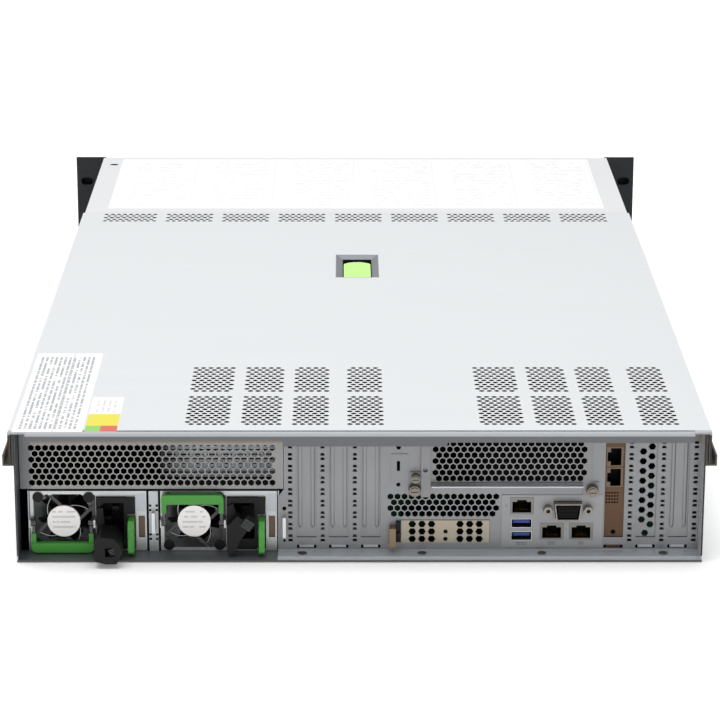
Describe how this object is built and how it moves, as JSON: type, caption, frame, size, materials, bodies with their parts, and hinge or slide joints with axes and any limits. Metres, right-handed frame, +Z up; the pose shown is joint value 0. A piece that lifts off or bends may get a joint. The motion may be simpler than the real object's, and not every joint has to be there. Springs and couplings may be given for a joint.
{
  "type": "rack server",
  "caption": "Two-unit rack server with sliding top cover, twin pull-out power supplies, expansion slots, fan wall and front drive carriers.",
  "frame": {"origin": "centre of the underside", "axes": "+Z up, front face looks along -Y, rear panel along +Y, +X towards the power supplies"},
  "size_m": [0.4824, 0.7721, 0.0869],
  "materials": {
    "zinc_sheet": "satin",
    "rear_sheet": "satin",
    "bracket_sheet": "satin",
    "nickel_sheet": "satin",
    "recess_grey": "matte",
    "pale_green_plastic": "matte",
    "green_plastic": "satin",
    "psu_sheet": "satin",
    "black_plastic": "matte",
    "ear_black": "satin",
    "jack_metal": "polished",
    "board_green": "satin",
    "heatsink_aluminium": "satin",
    "carrier_grey": "satin",
    "lever_plastic": "satin"
  },
  "bodies": {
    "chassis": {"air_shroud": "black_plastic", "chassis_tray": "zinc_sheet", "cpu_heatsinks": "heatsink_aluminium", "drive_backplane": "board_green", "drive_cage": "zinc_sheet", "fan_cage": "black_plastic", "front_cover": "zinc_sheet", "front_panel": "ear_black", "grille_panel": "rear_sheet", "io_plate": "nickel_sheet", "lan_card": "board_green", "lan_card_bracket": "bracket_sheet", "ledge_screws": "nickel_sheet", "left_ear": "ear_black", "mainboard": "board_green", "memory_modules": "board_green", "module_cover": "nickel_sheet", "network_jacks": "jack_metal", "psu_cage": "zinc_sheet", "rear_panel": "rear_sheet", "right_ear": "ear_black", "riser_module": "rear_sheet", "side_rails": "zinc_sheet", "slot_covers": "rear_sheet", "thumbscrews": "nickel_sheet", "usb_ports": "jack_metal", "vented_slot_cover": "rear_sheet", "video_port": "jack_metal"},
    "cover": {"top_cover": "zinc_sheet", "latch_frame": "recess_grey"},
    "latch": {"cover_latch": "pale_green_plastic"},
    "psu_1": {"psu_1_case": "psu_sheet", "psu_1_face": "psu_sheet", "psu_1_inlet": "black_plastic", "psu_1_retainer": "black_plastic"},
    "psu_1_rotor": {"psu_1_fan": "black_plastic"},
    "psu_1_handle": {"psu_1_bail": "green_plastic"},
    "psu_1_lever": {"psu_1_release": "green_plastic"},
    "psu_2": {"psu_2_case": "psu_sheet", "psu_2_face": "psu_sheet", "psu_2_inlet": "black_plastic", "psu_2_retainer": "black_plastic"},
    "psu_2_rotor": {"psu_2_fan": "black_plastic"},
    "psu_2_handle": {"psu_2_bail": "green_plastic"},
    "psu_2_lever": {"psu_2_release": "green_plastic"},
    "fan_1": {"fan_rotor_1": "black_plastic"},
    "fan_2": {"fan_rotor_2": "black_plastic"},
    "fan_3": {"fan_rotor_3": "black_plastic"},
    "fan_4": {"fan_rotor_4": "black_plastic"},
    "fan_5": {"fan_rotor_5": "black_plastic"},
    "carrier_1": {"drive_carrier_1": "carrier_grey"},
    "lever_1": {"carrier_lever_1": "lever_plastic"},
    "carrier_2": {"drive_carrier_2": "carrier_grey"},
    "lever_2": {"carrier_lever_2": "lever_plastic"},
    "carrier_3": {"drive_carrier_3": "carrier_grey"},
    "lever_3": {"carrier_lever_3": "lever_plastic"},
    "carrier_4": {"drive_carrier_4": "carrier_grey"},
    "lever_4": {"carrier_lever_4": "lever_plastic"},
    "button": {"power_button": "black_plastic"}
  },
  "joints": [
    {"name": "cover_slide", "type": "slide", "parent": "chassis", "child": "cover", "axis": [0, 1, 0], "range_m": [0, 0.0125]},
    {"name": "latch_lift", "type": "hinge", "parent": "cover", "child": "latch", "pos_m": [0, 0.0075, 0.0831], "axis": [-1, 0, 0], "range_deg": [0, 75]},
    {"name": "psu_1_slide", "type": "slide", "parent": "chassis", "child": "psu_1", "axis": [0, 1, 0], "range_m": [0, 0.21]},
    {"name": "psu_1_fan_spin", "type": "hinge", "parent": "psu_1", "child": "psu_1_rotor", "pos_m": [0.1869, 0.3435, 0.0215], "axis": [0, 1, 0], "continuous": true},
    {"name": "psu_1_handle_swing", "type": "hinge", "parent": "psu_1", "child": "psu_1_handle", "pos_m": [0.1876, 0.357, 0.0215], "axis": [1, 0, 0], "range_deg": [0, 180]},
    {"name": "psu_1_release_press", "type": "hinge", "parent": "psu_1", "child": "psu_1_lever", "pos_m": [0.144, 0.349, 0.012], "axis": [0, 0, -1], "range_deg": [0, 7], "stiffness_Nm_per_rad": 0.1},
    {"name": "psu_2_slide", "type": "slide", "parent": "chassis", "child": "psu_2", "axis": [0, 1, 0], "range_m": [0, 0.21]},
    {"name": "psu_2_fan_spin", "type": "hinge", "parent": "psu_2", "child": "psu_2_rotor", "pos_m": [0.1046, 0.3435, 0.0215], "axis": [0, 1, 0], "continuous": true},
    {"name": "psu_2_handle_swing", "type": "hinge", "parent": "psu_2", "child": "psu_2_handle", "pos_m": [0.1053, 0.357, 0.0215], "axis": [-1, 0, 0], "range_deg": [0, 180]},
    {"name": "psu_2_release_press", "type": "hinge", "parent": "psu_2", "child": "psu_2_lever", "pos_m": [0.0617, 0.349, 0.012], "axis": [0, 0, -1], "range_deg": [0, 7], "stiffness_Nm_per_rad": 0.1},
    {"name": "fan_1_spin", "type": "hinge", "parent": "chassis", "child": "fan_1", "pos_m": [-0.1688, -0.146, 0.0418], "axis": [0, 1, 0], "continuous": true},
    {"name": "fan_2_spin", "type": "hinge", "parent": "chassis", "child": "fan_2", "pos_m": [-0.0844, -0.146, 0.0418], "axis": [0, 1, 0], "continuous": true},
    {"name": "fan_3_spin", "type": "hinge", "parent": "chassis", "child": "fan_3", "pos_m": [0, -0.146, 0.0418], "axis": [0, 1, 0], "continuous": true},
    {"name": "fan_4_spin", "type": "hinge", "parent": "chassis", "child": "fan_4", "pos_m": [0.0844, -0.146, 0.0418], "axis": [0, 1, 0], "continuous": true},
    {"name": "fan_5_spin", "type": "hinge", "parent": "chassis", "child": "fan_5", "pos_m": [0.1688, -0.146, 0.0418], "axis": [0, 1, 0], "continuous": true},
    {"name": "carrier_1_slide", "type": "slide", "parent": "chassis", "child": "carrier_1", "axis": [0, -1, 0], "range_m": [0, 0.19]},
    {"name": "lever_1_swing", "type": "hinge", "parent": "carrier_1", "child": "lever_1", "pos_m": [-0.1132, -0.38815, 0.0176], "axis": [0, 0, 1], "range_deg": [0, 40]},
    {"name": "carrier_2_slide", "type": "slide", "parent": "chassis", "child": "carrier_2", "axis": [0, -1, 0], "range_m": [0, 0.19]},
    {"name": "lever_2_swing", "type": "hinge", "parent": "carrier_2", "child": "lever_2", "pos_m": [-0.0062, -0.38815, 0.0176], "axis": [0, 0, 1], "range_deg": [0, 40]},
    {"name": "carrier_3_slide", "type": "slide", "parent": "chassis", "child": "carrier_3", "axis": [0, -1, 0], "range_m": [0, 0.19]},
    {"name": "lever_3_swing", "type": "hinge", "parent": "carrier_3", "child": "lever_3", "pos_m": [0.1008, -0.38815, 0.0176], "axis": [0, 0, 1], "range_deg": [0, 40]},
    {"name": "carrier_4_slide", "type": "slide", "parent": "chassis", "child": "carrier_4", "axis": [0, -1, 0], "range_m": [0, 0.19]},
    {"name": "lever_4_swing", "type": "hinge", "parent": "carrier_4", "child": "lever_4", "pos_m": [0.2078, -0.38815, 0.0176], "axis": [0, 0, 1], "range_deg": [0, 40]},
    {"name": "power_press", "type": "slide", "parent": "chassis", "child": "button", "axis": [0, 1, 0], "range_m": [0, 0.0015], "stiffness_N_per_m": 400}
  ],
  "couplings": [
    {"joint": "latch_lift", "follows": "cover_slide", "rad_per_m": 104}
  ]
}
